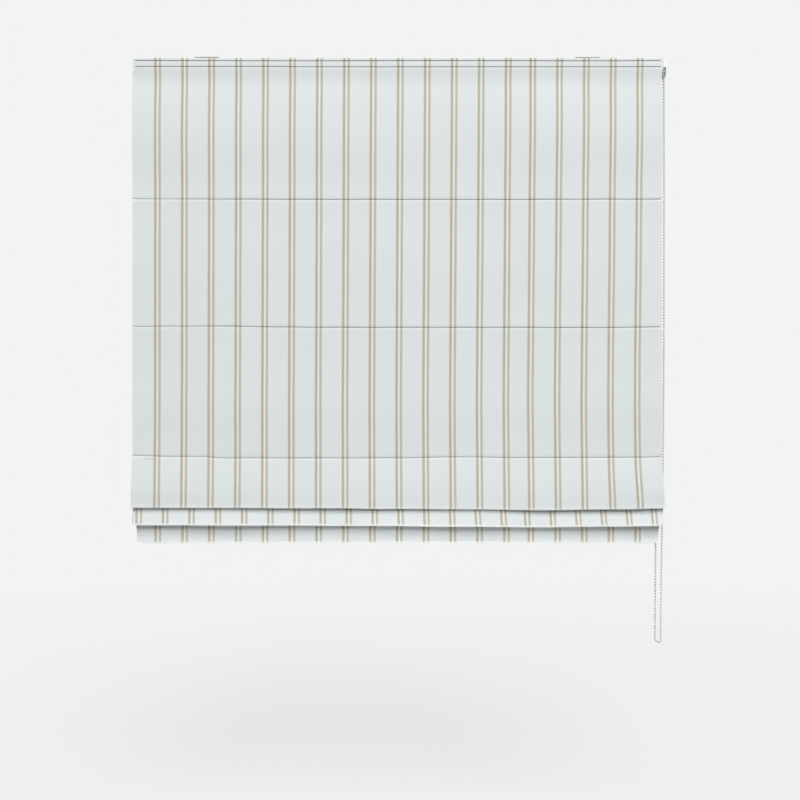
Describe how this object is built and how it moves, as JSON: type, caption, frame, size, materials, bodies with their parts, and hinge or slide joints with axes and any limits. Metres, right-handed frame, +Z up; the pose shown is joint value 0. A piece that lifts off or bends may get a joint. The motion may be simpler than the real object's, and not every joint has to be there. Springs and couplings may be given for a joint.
{
  "type": "roman blind",
  "caption": "Lined roman blind, partly raised: a flat cloth front with soft folds gathered at the hem, on a chain-driven head rail with lift cords, spools and top-fix brackets.",
  "frame": {"origin": "midway between the two bracket screw holes, on the brackets' upper faces, where they meet the ceiling or reveal", "axes": "+X along the width towards the chain end, -Y towards the room, +Z up"},
  "size_m": [1.0798, 0.0583, 1.1951],
  "materials": {
    "face_cloth": "woven, pale grey with taupe stripes",
    "lining": "plain cotton sateen",
    "fibreglass": "smooth",
    "bare_aluminium": "mill",
    "rail": "white powder coat",
    "tape": "hook and loop",
    "steel": "zinc plated",
    "moulding": "satin white",
    "cord": "braided",
    "bead": "glossy white",
    "bracket": "white"
  },
  "bodies": {
    "blind": {"face_cloth": "face_cloth", "lining": "lining", "rod_1": "fibreglass", "rod_2": "fibreglass", "rod_3": "fibreglass", "rod_4": "fibreglass", "rod_5": "fibreglass", "bottom_bar": "bare_aluminium", "headrail": "rail", "hook_tape": "tape", "loop_tape": "tape", "end_cap": "moulding", "cradle_1": "moulding", "cradle_2": "moulding", "cradle_3": "moulding", "lift_cord_1": "cord", "lift_cord_2": "cord", "lift_cord_3": "cord", "cord_orb_1": "bead", "cord_orb_2": "bead", "cord_orb_3": "bead", "cord_rings": "bead", "anchor_rings": "bead", "control_base": "moulding", "control_cover": "moulding", "cover_screws": "steel", "chain_cord": "cord", "chain_beads": "bead", "chain_joiner": "bead", "bracket_left": "bracket", "bracket_right": "bracket", "rivet_left": "steel", "rivet_right": "steel"},
    "drive": {"drive_shaft": "steel", "shaft_bush": "moulding", "spool_1": "moulding", "spool_2": "moulding", "spool_3": "moulding", "wound_cord_1": "cord", "wound_cord_2": "cord", "wound_cord_3": "cord", "chain_wheel": "moulding", "drive_core": "moulding", "brake_spring": "steel"},
    "left_lever": {"lever_left": "moulding"},
    "right_lever": {"lever_right": "moulding"}
  },
  "joints": [
    {"name": "drive_turn", "type": "hinge", "parent": "blind", "child": "drive", "pos_m": [0, 0, -0.024], "axis": [1, 0, 0], "range_deg": [-4702.5, 2812.5], "deforming": ["chain_cord", "chain_beads", "chain_joiner"]},
    {"name": "left_lever_turn", "type": "hinge", "parent": "blind", "child": "left_lever", "pos_m": [-0.376, 0, 0], "axis": [0, 0, 1], "range_deg": [0, 90]},
    {"name": "right_lever_turn", "type": "hinge", "parent": "blind", "child": "right_lever", "pos_m": [0.376, 0, 0], "axis": [0, 0, 1], "range_deg": [-90, 0]}
  ]
}
